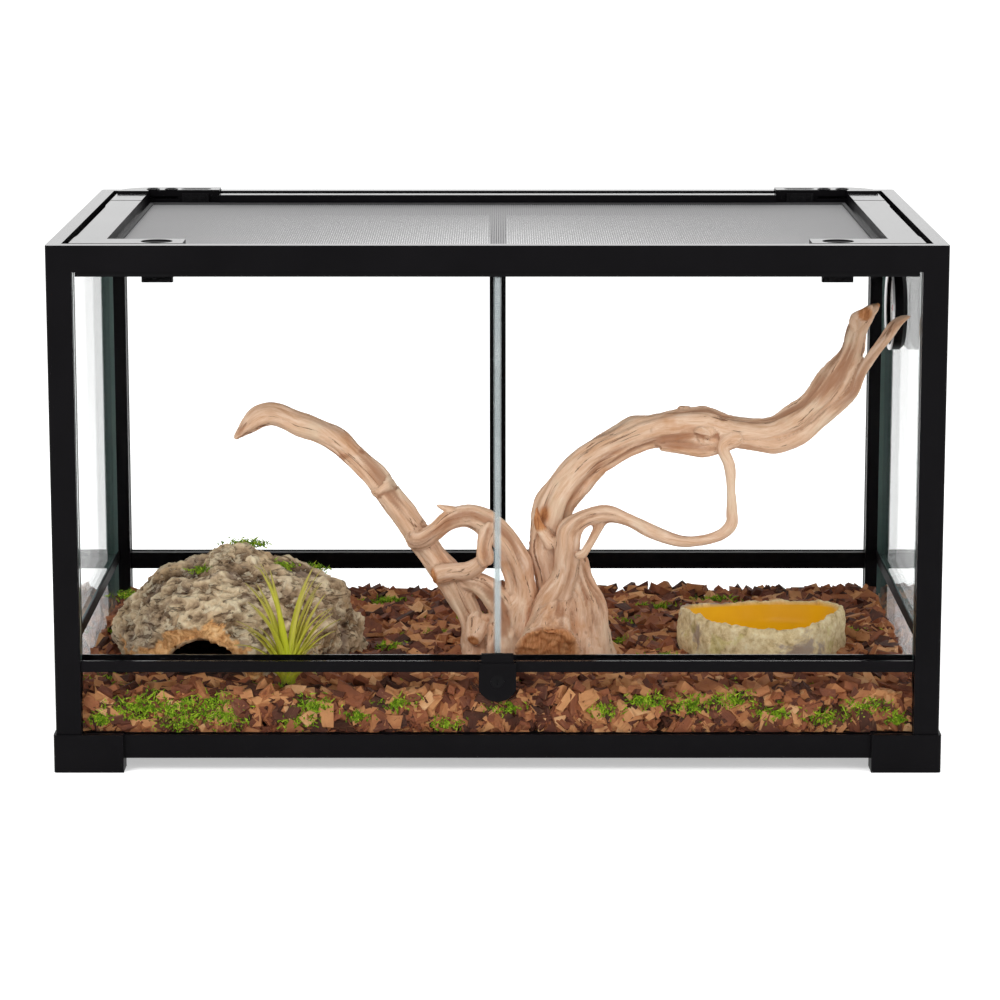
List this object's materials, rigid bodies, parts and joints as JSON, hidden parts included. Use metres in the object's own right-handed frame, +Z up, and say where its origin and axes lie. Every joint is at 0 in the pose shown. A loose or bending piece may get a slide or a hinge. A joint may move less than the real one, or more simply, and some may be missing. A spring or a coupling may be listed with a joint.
{
  "type": "reptile terrarium",
  "caption": "Front-opening glass reptile terrarium on corner feet, with sliding doors, a hinged mesh lid, cable ports, a gauge and furnishings.",
  "frame": {"origin": "on the ground, under the middle of the case", "axes": "+X to the right as seen from the doors, +Y to the rear, +Z up; the doors face -Y"},
  "size_m": [0.762, 0.457, 0.4579],
  "materials": {
    "frame_black": "satin black moulded plastic",
    "trim_black": "fine matt black plastic",
    "clear_glass": "clear tempered glass with polished edges",
    "clear_strip": "clear extruded plastic",
    "screen_mesh": "fine powder-coated wire screen",
    "spline_rubber": "ribbed black rubber bead",
    "steel": "plated steel",
    "gauge_ring": "glossy silver-white ring",
    "dial_white": "printed card with plain ticks",
    "needle_red": "painted",
    "bark_chips": "rough reddish bark chips with moss",
    "driftwood": "sandblasted driftwood, matt",
    "cork_bark": "deeply furrowed cork bark",
    "dish_stone": "rough moulded stone outside, smooth yellow bowl",
    "plant_leaf": "soft matt leaf"
  },
  "bodies": {
    "case": {"foot_front_left": "frame_black", "foot_front_right": "frame_black", "foot_rear_left": "frame_black", "foot_rear_right": "frame_black", "base_rails_long": "frame_black", "base_rails_side": "frame_black", "floor_panel": "frame_black", "lower_post_front_left": "frame_black", "lower_post_front_right": "frame_black", "lower_post_rear_left": "frame_black", "lower_post_rear_right": "frame_black", "lower_pane_front": "clear_glass", "lower_pane_rear": "clear_glass", "lower_panes_side": "clear_glass", "door_sill": "frame_black", "mid_rail_rear": "frame_black", "side_joint_strips": "trim_black", "upper_post_front_left": "frame_black", "upper_post_front_right": "frame_black", "upper_post_rear_left": "frame_black", "upper_post_rear_right": "frame_black", "rear_strut": "frame_black", "rear_panes": "clear_glass", "side_pane_left": "clear_glass", "side_pane_right": "clear_glass", "top_rail_front": "frame_black", "top_rail_rear": "frame_black", "rear_rail_ends": "frame_black", "top_rail_left": "frame_black", "top_rail_right": "frame_black", "top_corners": "trim_black", "door_track": "trim_black", "lock_housing": "frame_black", "port_housing_left": "frame_black", "port_housing_right": "frame_black", "gauge_case": "frame_black", "gauge_bezel": "gauge_ring", "gauge_dial": "dial_white", "substrate": "bark_chips", "driftwood_left": "driftwood", "driftwood_right": "driftwood", "cork_hide": "cork_bark", "water_dish": "dish_stone", "air_plant": "plant_leaf"},
    "left_door": {"left_door_glass": "clear_glass", "left_door_strip": "clear_strip"},
    "right_door": {"right_door_glass": "clear_glass", "right_door_strip": "clear_strip"},
    "barrel": {"lock_barrel": "trim_black"},
    "bolt": {"lock_bolt": "steel"},
    "lid": {"lid_frame": "frame_black", "lid_mesh": "screen_mesh", "mesh_spline": "spline_rubber"},
    "left_latch": {"latch_knob_left": "trim_black", "latch_cam_left": "frame_black"},
    "right_latch": {"latch_knob_right": "trim_black", "latch_cam_right": "frame_black"},
    "left_gate": {"port_gate_left": "trim_black"},
    "right_gate": {"port_gate_right": "trim_black"},
    "needle": {"gauge_needle": "needle_red"}
  },
  "joints": [
    {"name": "left_door_slide", "type": "slide", "parent": "case", "child": "left_door", "axis": [1, 0, 0], "range_m": [0, 0.35]},
    {"name": "right_door_slide", "type": "slide", "parent": "case", "child": "right_door", "axis": [1, 0, 0], "range_m": [-0.35, 0]},
    {"name": "lock_turn", "type": "hinge", "parent": "case", "child": "barrel", "pos_m": [0, -0.2265, 0.0804], "axis": [0, -1, 0], "range_deg": [0, 90]},
    {"name": "bolt_lift", "type": "slide", "parent": "case", "child": "bolt", "axis": [0, 0, 1], "range_m": [0, 0.00424]},
    {"name": "lid_hinge", "type": "hinge", "parent": "case", "child": "lid", "pos_m": [0, 0.2035, 0.4462], "axis": [-1, 0, 0], "range_deg": [0, 85]},
    {"name": "left_latch_turn", "type": "hinge", "parent": "lid", "child": "left_latch", "pos_m": [-0.288, -0.1935, 0.445], "axis": [0, 0, 1], "range_deg": [0, 90]},
    {"name": "right_latch_turn", "type": "hinge", "parent": "lid", "child": "right_latch", "pos_m": [0.288, -0.1935, 0.445], "axis": [0, 0, -1], "range_deg": [0, 90]},
    {"name": "left_gate_slide", "type": "slide", "parent": "case", "child": "left_gate", "axis": [-1, 0, 0], "range_m": [0, 0.031]},
    {"name": "right_gate_slide", "type": "slide", "parent": "case", "child": "right_gate", "axis": [1, 0, 0], "range_m": [0, 0.031]},
    {"name": "needle_turn", "type": "hinge", "parent": "case", "child": "needle", "pos_m": [0.3582, 0.0195, 0.369], "axis": [-1, 0, 0], "range_deg": [-110, 110]}
  ],
  "couplings": [
    {"joint": "lock_turn", "follows": "bolt_lift", "rad_per_m": 370.24}
  ]
}
